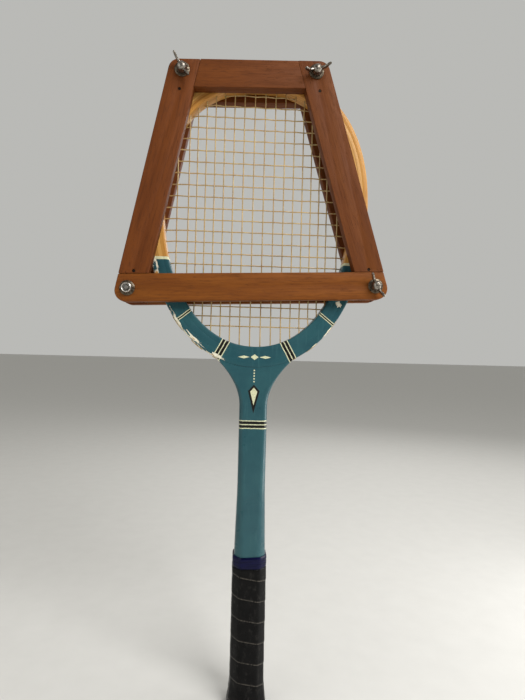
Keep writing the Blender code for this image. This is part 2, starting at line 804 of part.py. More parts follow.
def wing_outline():
    """Both wings of the nut as one flat outline, seen from its side: (x, height)."""
    half = WING_SPAN / 2
    right = [(HUB_RADIUS * 0.7, 0.0012), (HUB_RADIUS + 0.003, 0.0022), (half - 0.0035, 0.0056)]
    right += [(half - 0.0006, WING_HEIGHT - 0.0035), (half, WING_HEIGHT - 0.0014), (half - 0.0016, WING_HEIGHT)]
    right += [(half - 0.0042, WING_HEIGHT - 0.0010), (HUB_RADIUS + 0.0012, 0.0064), (HUB_RADIUS * 0.7, 0.0062)]
    return right


def wing_nut(name, x, z, turn):
    """A hub with two wings. The wings sink into the hub, and a union makes them one piece."""
    seat = -(OUTER_FACE + WASHER_THICKNESS + 2 * GAP)
    hub = part(name, nut_hub_mesh(), "dull_steel", on_press=True, smooth=True)
    put(hub, x, z, seat, turn)
    for side in (-1, 1):
        blade = plate([[(side * px, pz) for px, pz in wing_outline()]], -WING_THICKNESS / 2, WING_THICKNESS / 2)
        blade.transform(Matrix.Rotation(math.pi / 2, 4, "X"))
        wing = put(cutter(f"{name}_wing_{side}", blade, on_press=True), x, z, seat, turn)
        combine(hub, wing, "UNION")
    return hub


def ring_nut(name, x, z):
    bore = BOLT_RADIUS + GAP
    rim = 0.0008
    profile = [(bore, 0), (RING_NUT_RADIUS, 0), (RING_NUT_RADIUS, RING_NUT_HEIGHT - rim)]
    profile += [(RING_NUT_RADIUS - rim, RING_NUT_HEIGHT), (bore, RING_NUT_HEIGHT), (bore, 0)]
    seat = -(OUTER_FACE + WASHER_THICKNESS + 2 * GAP)
    nut = part(name, turned(profile, 16), "bright_steel", on_press=True, smooth=True)
    return put(nut, x, z, seat)


def make_fastening(corner, x, z):
    bolt = part(f"bolt_{corner}", bolt_mesh(), "dull_steel", on_press=True, smooth=True)
    put(bolt, x, z)
    washer = part(f"washer_{corner}", washer_mesh(), "dull_steel", on_press=True, smooth=True)
    put(washer, x, z, -(OUTER_FACE + GAP + WASHER_THICKNESS))
    if corner in WING_TURNS:
        wing_nut(f"wing_nut_{corner}", x, z, math.radians(-WING_TURNS[corner]))
    else:
        ring_nut(f"ring_nut_{corner}", x, z)


make_hoop()
make_strings()
make_throat_and_shaft()
make_grip()
make_press()
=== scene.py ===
from math import atan2, copysign, cos, hypot, pi, radians, sin

import bpy
from mathutils import Matrix, Vector


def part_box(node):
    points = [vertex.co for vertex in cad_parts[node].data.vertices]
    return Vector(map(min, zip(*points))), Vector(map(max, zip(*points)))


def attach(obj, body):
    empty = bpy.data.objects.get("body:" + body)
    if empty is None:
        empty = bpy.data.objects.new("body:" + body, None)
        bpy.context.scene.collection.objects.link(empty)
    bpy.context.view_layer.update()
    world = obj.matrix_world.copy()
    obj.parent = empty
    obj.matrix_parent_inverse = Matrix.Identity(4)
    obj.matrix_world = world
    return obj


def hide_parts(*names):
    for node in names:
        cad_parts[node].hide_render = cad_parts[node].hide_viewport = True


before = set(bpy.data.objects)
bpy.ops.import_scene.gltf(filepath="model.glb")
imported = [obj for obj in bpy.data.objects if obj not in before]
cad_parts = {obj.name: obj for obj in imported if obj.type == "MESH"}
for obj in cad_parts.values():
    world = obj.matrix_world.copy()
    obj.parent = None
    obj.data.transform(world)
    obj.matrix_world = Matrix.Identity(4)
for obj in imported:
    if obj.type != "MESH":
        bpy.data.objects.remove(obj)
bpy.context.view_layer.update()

# --- camera --------------------------------------------------------------------------
# A short lens at the height of the racket's neck, looking level, with the racket
# upright in front of it.
camera = bpy.data.objects.new("camera", bpy.data.cameras.new("camera"))
bpy.context.scene.collection.objects.link(camera)
camera.location = (-0.0257, -0.5489, 0.3808)
camera.rotation_euler = (radians(90.09), radians(-1.447), radians(-3.601))
camera.data.sensor_width = 36
camera.data.lens = 25.97
camera.data.clip_start = 0.01
bpy.context.scene.camera = camera

# --- hoop ------------------------------------------------------------------------------
# Three strips of ash, steamed and glued round a form: a thin one inside, a paler one in the
# middle and one outside. The crown is varnished, and the throat half is painted over the joints.
HOOP_CENTRE = 0.536  # height of its widest point
HOOP_HALF_WIDTH = 0.119
HOOP_TOP = 0.145  # from the widest point to the outside of the crown
HOOP_BOTTOM = 0.173  # and to the outside of the throat
BAND_AT_SIDE, BAND_AT_TOP, BAND_AT_THROAT = 0.018, 0.0175, 0.022
HOOP_DEPTH = 0.019
HOLE_RADIUS = 0.00115
HOLE_OFFSET = 0.003  # the mains' holes lie this far forwards, the crosses' this far back
HOLE_LEAN = 0.38  # how far a hole leans from square towards its string
PAINT_TOP = 0.4752  # the paint stops here on both sides


def hoop_axes(share, upper):
    """Half width, half height and fullness of the hoop's outline, at a share of the band from the inside."""
    width = HOOP_HALF_WIDTH - (1 - share) * BAND_AT_SIDE
    if upper:
        return width, HOOP_TOP - (1 - share) * BAND_AT_TOP, 2.3
    return width, HOOP_BOTTOM - (1 - share) * BAND_AT_THROAT, 2.1


def hoop_point(share, turn):
    """A point of the outline. turn runs from -pi to pi, with 0 at the crown."""
    width, height, fullness = hoop_axes(share, cos(turn) > 0)
    across, along = sin(turn), cos(turn)
    x = copysign(abs(across) ** (2 / fullness), across) * width
    z = copysign(abs(along) ** (2 / fullness), along) * height
    return x, HOOP_CENTRE + z


def hoop_edge(share, x, z):
    """How far the outline lies from the hoop's centre, in the direction of (x, z)."""
    width, height, fullness = hoop_axes(share, z > HOOP_CENTRE)
    reach = hypot(x, z - HOOP_CENTRE)
    across, along = abs(x) / reach, abs(z - HOOP_CENTRE) / reach
    return ((across / width) ** fullness + (along / height) ** fullness) ** (-1 / fullness)


def start_piece(name, add, **sizes):
    """Adds a primitive with nothing else selected, and names it."""
    bpy.ops.object.select_all(action="DESELECT")
    add(**sizes)
    piece = bpy.context.object
    piece.name = piece.data.name = name
    return piece


def take(piece):
    bpy.ops.object.select_all(action="DESELECT")
    piece.select_set(True)
    bpy.context.view_layer.objects.active = piece


def open_piece(piece, kind="VERT", test=None):
    """Opens a piece in edit mode, with all of it selected or what passes the test."""
    take(piece)
    bpy.ops.object.mode_set(mode="EDIT")
    bpy.ops.mesh.select_mode(type=kind)
    bpy.ops.mesh.select_all(action="SELECT" if test is None else "DESELECT")
    if test is not None:
        bpy.ops.object.mode_set(mode="OBJECT")
        parts = {"VERT": piece.data.vertices, "EDGE": piece.data.edges, "FACE": piece.data.polygons}[kind]
        for one in parts:
            one.select = test(one)
        bpy.ops.object.mode_set(mode="EDIT")


def close_piece(piece, angle=35):
    """Leaves edit mode with doubles merged, normals outwards and shading smooth up to an angle."""
    bpy.ops.mesh.select_all(action="SELECT")
    bpy.ops.mesh.remove_doubles(threshold=0.00001)
    bpy.ops.mesh.normals_make_consistent(inside=False)
    bpy.ops.object.mode_set(mode="OBJECT")
    bpy.ops.object.shade_smooth_by_angle(angle=radians(angle))


def apply_modifier(piece, kind, **settings):
    take(piece)
    made = piece.modifiers.new(kind.lower(), kind)
    for setting, value in settings.items():
        setattr(made, setting, value)
    bpy.ops.object.modifier_apply(modifier=made.name)


def combine(piece, tool, operation="DIFFERENCE"):
    """Cuts a tool out of a piece, or joins it on, and uses it up."""
    apply_modifier(piece, "BOOLEAN", operation=operation, solver="EXACT", object=tool)
    bpy.data.objects.remove(tool)
    bpy.ops.object.shade_smooth_by_angle(angle=radians(40))


def dress(piece, finish, body, slot, *nodes):
    """Gives a piece its finish and the body that it rides on, and hides the nodes that it stands for. slot is
    not used.
    """
    piece.data.materials.clear()
    piece.data.materials.append(finish)
    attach(piece, body)
    if nodes:
        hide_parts(*nodes)


def colour(red, green, blue):
    """A colour named by its display values, 0 to 255."""
    shares = (value / 255 for value in (red, green, blue))
    return tuple(((v + 0.055) / 1.055) ** 2.4 if v > 10 / 255 else v / 12.92 for v in shares) + (1,)


class Finish:
    """A finish under construction: each call adds a node and gives back what it puts out."""

    def __init__(self, name, **surface):
        self.material = bpy.data.materials.new(name)
        self.material.use_nodes = True
        self.tree = self.material.node_tree
        self.shader = self.tree.nodes["Principled BSDF"]
        for socket, value in surface.items():
            self.shader.inputs[socket.replace("_", " ")].default_value = value
        self.object_place = self.node("TexCoord").outputs["Object"]

    def node(self, kind, inputs=(), **settings):
        made = self.tree.nodes.new("ShaderNode" + kind)
        for setting, value in settings.items():
            setattr(made, setting, value)
        for socket, value in dict(inputs).items():
            if isinstance(value, bpy.types.NodeSocket):
                self.tree.links.new(value, made.inputs[socket])
            else:
                made.inputs[socket].default_value = value
        return made

    def calc(self, operation, *values):
        return self.node("Math", enumerate(values), operation=operation).outputs[0]

    def plus(self, first, second):
        return self.calc("ADD", first, second)

    def minus(self, first, second):
        return self.calc("SUBTRACT", first, second)

    def squares(self, first, second):
        """The sum of two squares."""
        return self.plus(self.calc("POWER", first, 2.0), self.calc("POWER", second, 2.0))

    def axis(self, place, letter):
        return self.node("SeparateXYZ", {0: place}).outputs["XYZ".index(letter)]

    def dot(self, place, way):
        return self.node("VectorMath", {0: place, 1: way}, operation="DOT_PRODUCT").outputs["Value"]

    def moved(self, place, turn=(0, 0, 0), scale=(1, 1, 1)):
        return self.node("Mapping", {"Vector": place, "Rotation": turn, "Scale": scale}).outputs[0]

    def noise(self, place, scale, detail=4.0, rough=0.55):
        """Noise whose grains are 1 / scale long in each direction."""
        stretched = self.moved(place, scale=(scale,) * 3 if isinstance(scale, (int, float)) else scale)
        sockets = {"Vector": stretched, "Scale": 1, "Detail": detail, "Roughness": rough}
        return self.node("TexNoise", sockets).outputs[0]

    def fade(self, value, low, high, at_low=0.0, at_high=1.0):
        sockets = {"Value": value, "From Min": low, "From Max": high, "To Min": at_low, "To Max": at_high}
        return self.node("MapRange", sockets, interpolation_type="SMOOTHSTEP").outputs[0]

    def band(self, value, centre, half, soft=0.00012):
        """1 within half of the centre, 0 outside."""
        away = self.calc("ABSOLUTE", self.minus(value, centre))
        return self.rest(self.fade(away, half - soft, half + soft))

    def rest(self, share):
        return self.minus(1.0, share)

    def blend(self, share, first, second):
        return self.node("Mix", {0: share, 6: first, 7: second}, data_type="RGBA").outputs[2]

    def both(self, *shares):
        result = shares[0]
        for share in shares[1:]:
            result = self.calc("MULTIPLY", result, share)
        return result

    def either(self, *shares):
        result = shares[0]
        for share in shares[1:]:
            result = self.calc("MAXIMUM", result, share)
        return result

    def bump(self, height, depth, strength=1.0, under=None):
        sockets = {"Height": height, "Distance": depth, "Strength": strength}
        if under is not None:
            sockets["Normal"] = under
        return self.node("Bump", sockets).outputs[0]

    def feed(self, socket, value):
        self.tree.links.new(value, self.shader.inputs[socket])


def edge_map(piece, along, inwards):
    """A map in metres that follows a piece: along its length, and inwards from its outer edge."""
    layer = piece.data.uv_layers.new(name="edge_map")
    for face in piece.data.polygons:
        for corner in face.loop_indices:
            place = piece.data.vertices[piece.data.loops[corner].vertex_index].co
            layer.data[corner].uv = (along(place, face.center), inwards(place))


def hoop_along(place, middle):
    turn = atan2(place.x, place.z - HOOP_CENTRE)
    face_turn = atan2(middle.x, middle.z - HOOP_CENTRE)
    if turn - face_turn > pi:
        turn -= 2 * pi
    if face_turn - turn > pi:
        turn += 2 * pi
    return turn * 0.135


def hoop_inwards(place):
    return hypot(place.x, place.z - HOOP_CENTRE) - hoop_edge(1, place.x, place.z)


def square_to_hoop(share, x, z):
    """The outward direction square to the hoop's outline."""
    width, height, fullness = hoop_axes(share, z > HOOP_CENTRE)
    across = copysign((abs(x) / width) ** (fullness - 1) / width, x)
    rise = z - HOOP_CENTRE
    along = copysign((abs(rise) / height) ** (fullness - 1) / height, rise)
    return Vector((across, along)).normalized()


def reach_out(x, z, way, rise=0.0):
    """The point outside the hoop where a line from (x, z) leaves it, and rise more."""
    near, far = -0.02, 0.08
    for _ in range(40):
        middle = (near + far) / 2
        px, pz = x + way[0] * middle, z + way[1] * middle
        if hypot(px, pz - HOOP_CENTRE) < hoop_edge(1, px, pz):
            near = middle
        else:
            far = middle
    return Vector((x, z)) + Vector(way) * (near + rise)


# Places of the string holes: each is where a string enters inside the hoop, and where it comes out.
MAIN_GAPS = [0.0056] + [0.0112 - 0.00042 * k for k in range(7)] + [0.012]
CROSS_GAPS = [0.0065] + [0.0125 - 0.000011 * (k - 6) ** 2 for k in range(21)]
main_sides = [sum(MAIN_GAPS[: k + 1]) for k in range(9)]
cross_heights = [HOOP_CENTRE + 0.1275 - sum(CROSS_GAPS[: k + 1]) for k in range(22)]


def hole(x, z, pull):
    square = square_to_hoop(0, x, z)
    way = (square * (1 - HOLE_LEAN) + Vector(pull) * HOLE_LEAN).normalized()
    return Vector((x, z)), reach_out(x, z, way)


def inner_height(x, upper):
    width, height, fullness = hoop_axes(0, upper)
    reach = height * (1 - (abs(x) / width) ** fullness) ** (1 / fullness)
    return HOOP_CENTRE + (reach if upper else -reach)


def inner_width(z):
    width, height, fullness = hoop_axes(0, z > HOOP_CENTRE)
    return width * (1 - (abs(z - HOOP_CENTRE) / height) ** fullness) ** (1 / fullness)


main_holes = [
    (hole(x, inner_height(x, False), (0, -1)), hole(x, inner_height(x, True), (0, 1)))
    for x in [-x for x in reversed(main_sides)] + main_sides
]
cross_holes = [
    (hole(-inner_width(z), z, (-1, 0)), hole(inner_width(z), z, (1, 0))) for z in cross_heights
]

drill = start_piece(
    "hole_drill", bpy.ops.mesh.primitive_cylinder_add, vertices=10, radius=HOLE_RADIUS, depth=1
)
drill_copies = []
for depth, laced in ((-HOLE_OFFSET, main_holes), (HOLE_OFFSET, cross_holes)):
    for start, end in [ends for pair in laced for ends in pair]:
        way = (end - start).normalized()
        turn = Vector((way.x, 0, way.y)).to_track_quat("Z", "Y").to_matrix().to_4x4()
        middle = (start + end) / 2
        length = (end - start).length + 0.006
        copy = bpy.data.objects.new("hole", drill.data.copy())
        place = Matrix.Translation((middle.x, depth, middle.y)) @ turn
        copy.data.transform(place @ Matrix.Diagonal((1, 1, length, 1)))
        bpy.context.scene.collection.objects.link(copy)
        drill_copies.append(copy)
take(drill_copies[0])
for copy in drill_copies:
    copy.select_set(True)
bpy.ops.object.join()
drill_holes = bpy.context.object
bpy.data.objects.remove(drill)


def paint(finish):
    """The painted half: teal enamel with cream and black lines, chipped to its undercoat along the edge."""
    place = finish.object_place
    folded = finish.node("VectorMath", {0: place}, operation="ABSOLUTE").outputs[0]
    side, height = finish.axis(folded, "X"), finish.axis(place, "Z")
    map_place = finish.node("UVMap", uv_map="edge_map").outputs[0]
    inwards = finish.axis(map_place, "Y")
    cloudy = finish.noise(place, 35, 3)
    # streaks of lighter teal: partly the enamel's own brush marks, partly painted sheen
    brush_streaks_and_sheen = finish.noise(place, (300, 300, 30), 3)
    teal = finish.blend(finish.fade(cloudy, 0.3, 0.7), colour(36, 76, 84), colour(44, 86, 92))
    teal = finish.blend(finish.fade(brush_streaks_and_sheen, 0.55, 0.85), teal, colour(56, 98, 102))
    waver = finish.both(finish.minus(finish.noise(place, 180, 2), 0.5), 0.0007)
    cream_lines, black_lines = [], []
    # lines across the hoop: (inner end, outer end, cream lines, black lines, half width of a cream line)
    for inner, outer, cream_at, black_at, half in (
        ((0.0683, 0.4232), (0.0837, 0.4110), (-0.00115, 0.00115), (0.0,), 0.00042),
        ((0.0305, 0.3915), (0.0402, 0.3738), (-0.0039, 0.0, 0.0039), (-0.00195, 0.00195), 0.00048),
    ):
        along = (Vector(outer) - Vector(inner)).normalized()
        square = Vector((-along.y, along.x))
        off = finish.minus(finish.dot(folded, (square.x, 0, square.y)), square.dot(Vector(inner)))
        off = finish.plus(off, waver)
        run = finish.minus(finish.dot(folded, (along.x, 0, along.y)), along.dot(Vector(inner)))
        near = finish.band(run, 0.010, 0.0165)
        cream_lines += [finish.both(near, finish.band(off, at, half)) for at in cream_at]
        reach = 0.00145 if len(black_at) > 1 else 0.0007
        black_lines += [finish.both(near, finish.band(off, at, reach)) for at in black_at]
    lined = finish.plus(height, waver)
    cream_lines += [finish.band(lined, at, 0.0005) for at in (0.3055, 0.3015, 0.2975)]
    black_lines += [finish.band(lined, at, 0.0015) for at in (0.3035, 0.2995)]

    # a plain tapered lozenge down the neck with a black border, and a row of five dots above it
    def lozenge(top, widest, bottom, half):
        sides = []
        for tip in (top, bottom):
            edge = Vector((half, widest)) - Vector((0, tip))
            square = Vector((edge.y, -edge.x)).normalized()
            square = square if square.x > 0 else -square
            off = finish.dot(folded, (square.x, 0, square.y))
            sides.append(finish.minus(off, square.dot(Vector((0, tip)))))
        return finish.calc("MAXIMUM", *sides)

    dart = lozenge(0.3445, 0.3375, 0.3135, 0.0062)
    black_lines.append(finish.rest(finish.fade(dart, -0.0001, 0.0001)))
    cream_lines.append(finish.rest(finish.fade(dart, -0.0023, -0.0021)))
    pitch = 0.0030
    step = finish.both(finish.minus(height, 0.3461), 1 / pitch)
    from_dot = finish.both(finish.minus(finish.calc("FRACT", step), 0.5), pitch)
    away = finish.calc("SQRT", finish.squares(from_dot, side))
    row = finish.both(finish.calc("GREATER_THAN", step, 0.0), finish.calc("LESS_THAN", step, 5.0))
    cream_lines.append(finish.both(row, finish.rest(finish.fade(away, 0.0007, 0.0009))))

    # a plain ornament above the joint: a small lozenge between two tapered bars
    def level_lozenge(middle, half_wide, half_high):
        off = finish.calc("ABSOLUTE", finish.minus(height, 0.3738))
        out = finish.calc("ABSOLUTE", finish.minus(side, middle))
        total = finish.plus(finish.calc("DIVIDE", out, half_wide), finish.calc("DIVIDE", off, half_high))
        return finish.rest(finish.fade(total, 0.95, 1.05))

    cream_lines.append(level_lozenge(0.0, 0.0042, 0.0030))
    cream_lines.append(level_lozenge(0.0115, 0.0062, 0.0016))
    black = finish.either(*black_lines)
    cream = finish.either(*cream_lines)
    faded = finish.fade(finish.noise(place, 900, 3), 0.25, 0.5, 0.55, 1.0)
    top = finish.plus(height, finish.both(waver, 1.5))
    cream = finish.either(finish.both(cream, faded), finish.band(top, PAINT_TOP + 0.0013, 0.0015))
    painted = finish.blend(black, teal, colour(22, 22, 20))
    painted = finish.blend(cream, painted, colour(214, 214, 176))
    # chips: long bites out of the outer edge, most on the left, and two worn patches
    bites = finish.noise(map_place, (75, 330, 1), 4, 0.62)
    long_wear = finish.fade(finish.noise(map_place, (16, 1, 1), 1), 0.36, 0.60, 0.6, 1.0)
    on_side = finish.fade(finish.axis(place, "X"), -0.02, 0.02, 1.0, 0.30)
    above_joint = finish.fade(height, 0.366, 0.376, 0.12, 1.0)
    reach = finish.both(finish.fade(bites, 0.36, 0.60), long_wear, on_side, above_joint)
    thick = finish.node("MapRange", {"Value": height, 1: 0.162, 2: 0.304, 3: 0.0148, 4: 0.0095}).outputs[0]
    off_arris = finish.minus(thick, finish.axis(folded, "Y"))
    gone = finish.minus(finish.plus(finish.both(reach, 0.0084), inwards), off_arris)
    gone = finish.minus(gone, 0.0007)
    patches = []
    for patch_x, patch_z, wide, high in ((0.0893, 0.4330, 0.0046, 0.0042), (-0.1125, 0.467, 0.0042, 0.0062)):
        across = finish.calc("DIVIDE", finish.minus(finish.axis(place, "X"), patch_x), wide)
        up = finish.calc("DIVIDE", finish.minus(height, patch_z), high)
        ragged = finish.plus(finish.squares(across, up), finish.both(finish.noise(place, 330, 4, 0.7), 3.2))
        patches.append(finish.rest(finish.fade(ragged, 2.05, 2.15)))
    near_edge = finish.fade(inwards, -0.02, -0.004)
    spots = finish.both(finish.fade(finish.noise(place, 150, 5, 0.7), 0.71, 0.72), near_edge)
    chipped = finish.either(finish.fade(gone, 0.0, 0.00015), spots, *patches)
    bare = finish.fade(finish.plus(gone, finish.both(bites, 0.002)), 0.0046, 0.0048)
    undercoat = finish.blend(finish.noise(place, 400, 2), colour(206, 198, 166), colour(240, 236, 220))
    dark_rim = finish.both(finish.fade(gone, -0.0004, 0.0), finish.rest(chipped))
    painted = finish.blend(finish.both(dark_rim, 0.6), painted, colour(24, 40, 44))
    return painted, chipped, undercoat, bare, top


def hoop_finish(name, light, dark):
    """Varnished ash above, paint below."""
    finish = Finish(name, Coat_Weight=0.06, Coat_Roughness=0.18, Specular_IOR_Level=0.18)
    map_place = finish.node("UVMap", uv_map="edge_map").outputs[0]
    depth = finish.axis(finish.object_place, "Y")
    grain_place = finish.node(
        "CombineXYZ", {0: finish.axis(map_place, "X"), 1: finish.axis(map_place, "Y"), 2: depth}
    ).outputs[0]
    grain = finish.noise(grain_place, (14, 900, 700), 5, 0.6)
    rings = finish.noise(grain_place, (5, 240, 200), 3)
    tint = finish.noise(finish.object_place, 14, 2)
    wood = finish.blend(finish.fade(grain, 0.32, 0.68), light, dark)
    wood = finish.blend(finish.both(finish.fade(rings, 0.5, 0.72), 0.45), wood, colour(124, 76, 32))
    wood = finish.blend(finish.fade(tint, 0.45, 0.8, 0.0, 0.35), wood, colour(140, 88, 38))
    painted, chipped, undercoat, bare, top = paint(finish)
    painted = finish.blend(chipped, painted, finish.blend(bare, undercoat, wood))
    is_wood = finish.fade(top, PAINT_TOP + 0.0026, PAINT_TOP + 0.0029)
    finish.feed("Base Color", finish.blend(is_wood, painted, wood))
    rough = finish.fade(finish.noise(finish.object_place, 60, 3), 0.3, 0.7, 0.30, 0.44)
    finish.feed("Roughness", finish.either(rough, finish.both(chipped, 0.7)))
    skin = finish.noise(finish.object_place, 500, 2)
    sunk = finish.both(chipped, finish.rest(is_wood))
    level = finish.minus(finish.both(skin, 0.12), sunk)
    level = finish.minus(level, finish.both(finish.both(grain, is_wood), 0.35))
    finish.feed("Normal", finish.bump(level, 0.00022, 0.8))
    return finish.material


ash = hoop_finish("varnished_ash", colour(206, 152, 78), colour(176, 122, 54))
pale_ash = hoop_finish("pale_ash", colour(216, 168, 94), colour(190, 138, 68))
HOOP_STEPS = 256
CORNER_POINTS = 4
for name, node, inner, outer, round_inner, round_outer, look, slot in (
    ("inner_strip", "hoop_inner_ply", 0.0, 0.30, 0.0013, 0.00004, ash, "hoop_wood"),
    ("middle_strip", "hoop_middle_ply", 0.30, 0.68, 0.00004, 0.00004, pale_ash, "pale_ply"),
    ("outer_strip", "hoop_outer_ply", 0.68, 1.0, 0.00004, 0.0016, ash, "hoop_wood"),
):
    strip = start_piece(
        name,
        bpy.ops.mesh.primitive_torus_add,
        major_segments=HOOP_STEPS,
        minor_segments=4 * CORNER_POINTS,
        major_radius=0.13,
        minor_radius=0.01,
    )
    for k in range(HOOP_STEPS):
        turn = 2 * pi * (k + 0.5) / HOOP_STEPS - pi
        inside, outside = Vector(hoop_point(inner, turn)), Vector(hoop_point(outer, turn))
        across = outside - inside
        at_joint = max(0.0, min(1.0, (abs(turn) - 2.83) / 0.05))
        for j in range(4 * CORNER_POINTS):
            quarter, step = divmod(j, CORNER_POINTS)
            out, front = quarter in (0, 3), quarter in (2, 3)
            rounding = round_outer * (1 - 0.8 * at_joint) if out else round_inner
            rounding = min(rounding, across.length / 2)
            arc = pi / 2 * (quarter + step / (CORNER_POINTS - 1))
            centre_out = across.length - rounding if out else rounding
            centre_deep = (HOOP_DEPTH / 2 - rounding) * (-1 if front else 1)
            flat = inside + across.normalized() * (centre_out + cos(arc) * rounding)
            deep = centre_deep + sin(arc) * rounding
            strip.data.vertices[k * 4 * CORNER_POINTS + j].co = (flat.x, deep, flat.y)
    open_piece(strip)
    close_piece(strip)
    apply_modifier(strip, "BOOLEAN", operation="DIFFERENCE", solver="EXACT", object=drill_holes)
    bpy.ops.object.shade_smooth_by_angle(angle=radians(35))
    edge_map(strip, hoop_along, hoop_inwards)
    dress(strip, look, "racket", slot, node)
bpy.data.objects.remove(drill_holes)

# --- strings ------------------------------------------------------------------------------
# Natural gut, one length for the mains and one for the crosses. It runs taut through the holes,
# over and under at every crossing, and turns back along the outside of the hoop.
STRING_RADIUS = 0.00065
WEAVE = 0.00062  # how far a string bows forwards or backwards at a crossing
LOOP_RISE = 0.0005


def crossings(run, start, along, axis, others, first_way):
    """Where a run crosses the other string: its share of the run, and the side that it passes on."""
    found = []
    for number, other in enumerate(others):
        share = (other - start[axis]) / along[axis]
        if 0.03 < share < 0.97:
            found.append((share, first_way if (run + number) % 2 == 0 else -first_way))
    return sorted(found)


def string_path(laced, layer, axis, others):
    """Points of one string through all its holes. others are the other string's places along an axis."""
    depth = layer * HOLE_OFFSET

    def through(hole_ends):
        inside, outside = hole_ends
        return [(*reach_out(*outside, square_to_hoop(1, *outside), LOOP_RISE), depth), (*inside, depth)]

    path = []
    left_at = None
    for run, ends in enumerate(laced):
        first, last = ends if run % 2 == 0 else ends[::-1]
        along = last[0] - first[0]
        if left_at is not None:
            middle = (left_at + first[1]) / 2
            path.append((*reach_out(*middle, square_to_hoop(1, *middle), LOOP_RISE), depth))
        path += through(first)
        places = crossings(run, first[0], along, axis, others, -layer)
        for here, (share, way) in enumerate(places):
            path.append((*(first[0] + along * share), -way * WEAVE))
            if here + 1 < len(places):
                next_share, next_way = places[here + 1]
                between = first[0] + along * (share + next_share) / 2
                path.append((*between, -(way + next_way) * WEAVE / 2))
        path += through(last)[::-1]
        left_at = last[1]
    return [(x, y, z) for x, z, y in path]


def gut():
    finish = Finish(
        "gut", Coat_Weight=0.3, Coat_Roughness=0.2, Subsurface_Weight=0.12, Subsurface_Scale=0.0015
    )
    place = finish.object_place
    aged = finish.noise(place, (30, 30, 30), 3)
    fibre = finish.noise(place, 1300, 3)
    strand = finish.blend(finish.fade(aged, 0.3, 0.7), colour(158, 126, 72), colour(192, 162, 104))
    strand = finish.blend(finish.fade(fibre, 0.45, 0.8), strand, colour(222, 200, 150))
    finish.feed("Base Color", strand)
    finish.feed("Roughness", finish.fade(fibre, 0.2, 0.8, 0.35, 0.6))
    finish.feed("Normal", finish.bump(fibre, 0.00008, 0.6))
    return finish.material


gut_finish = gut()
for name, node, laced, layer, axis, others in (
    ("mains", "main_string", main_holes, -1, 1, cross_heights),
    ("crosses", "cross_string", cross_holes, 1, 0, [ends[0][0].x for ends in main_holes]),
):
    strand = start_piece(name, bpy.ops.curve.primitive_nurbs_path_add)
    points = string_path(laced, layer, axis, others)
    strand.data.splines.clear()
    spline = strand.data.splines.new("POLY")
    spline.points.add(len(points) - 1)
    for point, place in zip(spline.points, points):
        point.co = (*place, 1)
    strand.data.bevel_depth = STRING_RADIUS
    strand.data.bevel_resolution = 2
    strand.data.use_fill_caps = True
    take(strand)
    bpy.ops.object.convert(target="MESH")
    strand = bpy.context.object
    bpy.ops.object.shade_smooth()
    dress(strand, gut_finish, "racket", "string", node)

# --- throat and shaft --------------------------------------------------------------------
# The ends of the bow, the wedge between them and the heel pieces on both faces, glued up,
# shaped and painted as one. The flanks run out in a curve along the hoop.
SHAFT_HALF = 0.0148
HANDLE_HALF = 0.0166
HANDLE_HALF_DEPTH = 0.0148
HANDLE_CUT = 0.0072  # taken off each corner of the handle
NECK_CUT = 0.0030
BUTT_END = 0.003  # the wood ends here, above the cap
THROAT_START = 0.320
HEEL_TOP = 0.292
HANDLE_TOP = 0.162


def share_of(value, low, high):
    return min(1.0, max(0.0, (value - low) / (high - low)))


def flare(z):
    return 0.0026 * (1 - share_of(z, BUTT_END, 0.028)) ** 1.6


def half_width(z):
    width = HANDLE_HALF + (SHAFT_HALF - HANDLE_HALF) * share_of(z, HANDLE_TOP, HANDLE_TOP + 0.07)
    return width + 9.9 * max(0.0, z - THROAT_START) ** 2 + flare(z)


def half_depth(z):
    change = HOOP_DEPTH / 2 - HANDLE_HALF_DEPTH
    return HANDLE_HALF_DEPTH + change * share_of(z, HANDLE_TOP, HEEL_TOP + 0.012) + flare(z)


def eight_sided(wide, deep, cut, flats=1, round_share=0.35):
    """An eight-sided outline with rounded corners. The wide flats have extra points."""
    corners = []
    for sx, sy in ((1, -1), (1, 1), (-1, 1), (-1, -1)):
        pair = [Vector((sx * (wide - cut), sy * deep)), Vector((sx * wide, sy * (deep - cut)))]
        corners += pair if sx * sy < 0 else pair[::-1]
    outline = []
    for k, corner in enumerate(corners):
        following = corners[(k + 1) % 8]
        before = corners[k - 1] - corner
        after = following - corner
        cut_back = min(before.length, after.length) * round_share
        first = corner + before.normalized() * cut_back
        last = corner + after.normalized() * cut_back
        for step in (0, 0.33, 0.67, 1):
            outline.append(first.lerp(corner, step).lerp(corner.lerp(last, step), step))
        extra = flats if abs(following.x - corner.x) > wide * 0.9 else 1
        shorter = min(after.length, (corners[(k + 2) % 8] - following).length)
        arrives = following + (corner - following).normalized() * (shorter * round_share)
        for step in range(1, extra + 1):
            outline.append(last.lerp(arrives, step / (extra + 1)))
    return outline


def sleeve(name, rows, points):
    """An upright tube with capped ends: rows rings of points points each, to be placed one by one."""
    piece = start_piece(
        name, bpy.ops.mesh.primitive_circle_add, vertices=points, radius=0.02, fill_type="NGON"
    )
    open_piece(piece, "FACE")
    for _ in range(rows - 1):
        bpy.ops.mesh.extrude_region_move(TRANSFORM_OT_translate={"value": (0, 0, 0.001)})
    bpy.ops.object.mode_set(mode="OBJECT")
    order = sorted(
        piece.data.vertices, key=lambda v: (round(v.co.z * 1e5), round(atan2(v.co.y, v.co.x) % (2 * pi), 5))
    )
    return piece, [order[k * points : (k + 1) * points] for k in range(rows)]


def turned_to_start(outline):
    """The outline's points in order of turn, from the +X side on, as a sleeve's rings are."""
    start = min(range(len(outline)), key=lambda k: abs(atan2(outline[k].y, outline[k].x) % (2 * pi)))
    return outline[start:] + outline[:start]


WEDGE_BASE = 0.300
meet = THROAT_START
while hypot(half_width(meet), meet - HOOP_CENTRE) > hoop_edge(1, half_width(meet), meet):
    meet += 0.0001
meet_half = half_width(meet)


